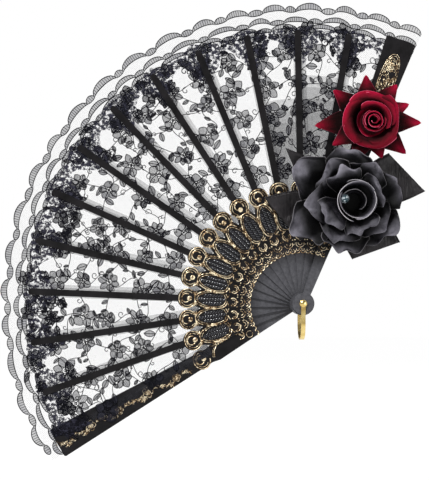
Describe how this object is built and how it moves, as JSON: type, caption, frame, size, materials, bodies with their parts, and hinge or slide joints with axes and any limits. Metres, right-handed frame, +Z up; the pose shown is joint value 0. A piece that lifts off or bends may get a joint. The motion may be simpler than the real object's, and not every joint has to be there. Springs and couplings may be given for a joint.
{
  "type": "folding hand fan",
  "caption": "Folding lace hand fan with gilded black sticks, a hanging bail, and a black and a red fabric rose on the front guard.",
  "frame": {"origin": "centre of the rivet, midway through the stack of sticks", "axes": "+Y along the rivet from the front of the fan to its back, +Z up with the fan held upright and open"},
  "size_m": [0.3258, 0.0603, 0.3495],
  "materials": {
    "black_plastic": "moulded, satin gloss",
    "antique_gold": "gilt rubbed on the relief, darker in the hollows",
    "polished_brass": "polished",
    "black_lace": "machine lace on fine net",
    "ribbon_satin": "satin ribbon",
    "black_rose_satin": "dull satin with a soft lilac sheen",
    "red_velvet": "velvet",
    "felt": "pressed felt",
    "cut_glass": "faceted, foiled behind"
  },
  "bodies": {
    "guard_front": {"front_guard": "black_plastic", "rivet": "polished_brass", "rose_stone": "cut_glass", "leaf_panel_01": "black_lace", "edging_panel_01": "black_lace", "black_rose_backing": "felt", "red_rose_backing": "felt", "ribbon_knot": "ribbon_satin", "ribbon_loop_right": "ribbon_satin", "ribbon_loop_left": "ribbon_satin", "ribbon_loop_lower": "ribbon_satin", "ribbon_loop_upper": "ribbon_satin", "black_rose_core": "black_rose_satin", "black_rose_outer_petals": "black_rose_satin", "black_rose_middle_petals": "black_rose_satin", "black_rose_inner_petals": "black_rose_satin", "black_rose_bud": "black_rose_satin", "red_rose_core": "red_velvet", "red_rose_pointed_petals": "red_velvet", "red_rose_outer_petals": "red_velvet", "red_rose_inner_petals": "red_velvet", "red_rose_bud": "red_velvet"},
    "stick_01": {"stick_01": "black_plastic", "leaf_panel_02": "black_lace", "edging_panel_02": "black_lace"},
    "stick_02": {"stick_02": "black_plastic", "leaf_panel_03": "black_lace", "edging_panel_03": "black_lace"},
    "stick_03": {"stick_03": "black_plastic", "leaf_panel_04": "black_lace", "edging_panel_04": "black_lace"},
    "stick_04": {"stick_04": "black_plastic", "leaf_panel_05": "black_lace", "edging_panel_05": "black_lace"},
    "stick_05": {"stick_05": "black_plastic", "leaf_panel_06": "black_lace", "edging_panel_06": "black_lace"},
    "stick_06": {"stick_06": "black_plastic", "leaf_panel_07": "black_lace", "edging_panel_07": "black_lace"},
    "stick_07": {"stick_07": "black_plastic", "leaf_panel_08": "black_lace", "edging_panel_08": "black_lace"},
    "stick_08": {"stick_08": "black_plastic", "leaf_panel_09": "black_lace", "edging_panel_09": "black_lace"},
    "stick_09": {"stick_09": "black_plastic", "leaf_panel_10": "black_lace", "edging_panel_10": "black_lace"},
    "stick_10": {"stick_10": "black_plastic", "leaf_panel_11": "black_lace", "edging_panel_11": "black_lace"},
    "stick_11": {"stick_11": "black_plastic", "leaf_panel_12": "black_lace", "edging_panel_12": "black_lace"},
    "stick_12": {"stick_12": "black_plastic", "leaf_panel_13": "black_lace", "edging_panel_13": "black_lace"},
    "guard_rear": {"rear_guard": "black_plastic"},
    "hanging_bail": {"bail": "polished_brass"}
  },
  "joints": [
    {"name": "fold_01", "type": "hinge", "parent": "guard_front", "child": "stick_01", "pos_m": [0, 0, 0], "axis": [0, 1, 0], "range_deg": [0, 10.8], "deforming": ["leaf_panel_01", "edging_panel_01"]},
    {"name": "fold_02", "type": "hinge", "parent": "stick_01", "child": "stick_02", "pos_m": [0, 0, 0], "axis": [0, 1, 0], "range_deg": [0, 10.8], "deforming": ["leaf_panel_02", "edging_panel_02"]},
    {"name": "fold_03", "type": "hinge", "parent": "stick_02", "child": "stick_03", "pos_m": [0, 0, 0], "axis": [0, 1, 0], "range_deg": [0, 10.8], "deforming": ["leaf_panel_03", "edging_panel_03"]},
    {"name": "fold_04", "type": "hinge", "parent": "stick_03", "child": "stick_04", "pos_m": [0, 0, 0], "axis": [0, 1, 0], "range_deg": [0, 10.8], "deforming": ["leaf_panel_04", "edging_panel_04"]},
    {"name": "fold_05", "type": "hinge", "parent": "stick_04", "child": "stick_05", "pos_m": [0, 0, 0], "axis": [0, 1, 0], "range_deg": [0, 10.8], "deforming": ["leaf_panel_05", "edging_panel_05"]},
    {"name": "fold_06", "type": "hinge", "parent": "stick_05", "child": "stick_06", "pos_m": [0, 0, 0], "axis": [0, 1, 0], "range_deg": [0, 10.8], "deforming": ["leaf_panel_06", "edging_panel_06"]},
    {"name": "fold_07", "type": "hinge", "parent": "stick_06", "child": "stick_07", "pos_m": [0, 0, 0], "axis": [0, 1, 0], "range_deg": [0, 10.8], "deforming": ["leaf_panel_07", "edging_panel_07"]},
    {"name": "fold_08", "type": "hinge", "parent": "stick_07", "child": "stick_08", "pos_m": [0, 0, 0], "axis": [0, 1, 0], "range_deg": [0, 10.8], "deforming": ["leaf_panel_08", "edging_panel_08"]},
    {"name": "fold_09", "type": "hinge", "parent": "stick_08", "child": "stick_09", "pos_m": [0, 0, 0], "axis": [0, 1, 0], "range_deg": [0, 10.8], "deforming": ["leaf_panel_09", "edging_panel_09"]},
    {"name": "fold_10", "type": "hinge", "parent": "stick_09", "child": "stick_10", "pos_m": [0, 0, 0], "axis": [0, 1, 0], "range_deg": [0, 10.8], "deforming": ["leaf_panel_10", "edging_panel_10"]},
    {"name": "fold_11", "type": "hinge", "parent": "stick_10", "child": "stick_11", "pos_m": [0, 0, 0], "axis": [0, 1, 0], "range_deg": [0, 10.8], "deforming": ["leaf_panel_11", "edging_panel_11"]},
    {"name": "fold_12", "type": "hinge", "parent": "stick_11", "child": "stick_12", "pos_m": [0, 0, 0], "axis": [0, 1, 0], "range_deg": [0, 10.8], "deforming": ["leaf_panel_12", "edging_panel_12"]},
    {"name": "fold_13", "type": "hinge", "parent": "stick_12", "child": "guard_rear", "pos_m": [0, 0, 0], "axis": [0, 1, 0], "range_deg": [0, 10.8], "deforming": ["leaf_panel_13", "edging_panel_13"]},
    {"name": "bail_swing", "type": "hinge", "parent": "guard_front", "child": "hanging_bail", "pos_m": [0, 0, 0], "axis": [0, 1, 0], "range_deg": [-130, 30]}
  ],
  "couplings": [
    {"joint": "fold_02", "follows": "fold_01", "ratio": 1},
    {"joint": "fold_03", "follows": "fold_01", "ratio": 1},
    {"joint": "fold_04", "follows": "fold_01", "ratio": 1},
    {"joint": "fold_05", "follows": "fold_01", "ratio": 1},
    {"joint": "fold_06", "follows": "fold_01", "ratio": 1},
    {"joint": "fold_07", "follows": "fold_01", "ratio": 1},
    {"joint": "fold_08", "follows": "fold_01", "ratio": 1},
    {"joint": "fold_09", "follows": "fold_01", "ratio": 1},
    {"joint": "fold_10", "follows": "fold_01", "ratio": 1},
    {"joint": "fold_11", "follows": "fold_01", "ratio": 1},
    {"joint": "fold_12", "follows": "fold_01", "ratio": 1},
    {"joint": "fold_13", "follows": "fold_01", "ratio": 1}
  ]
}
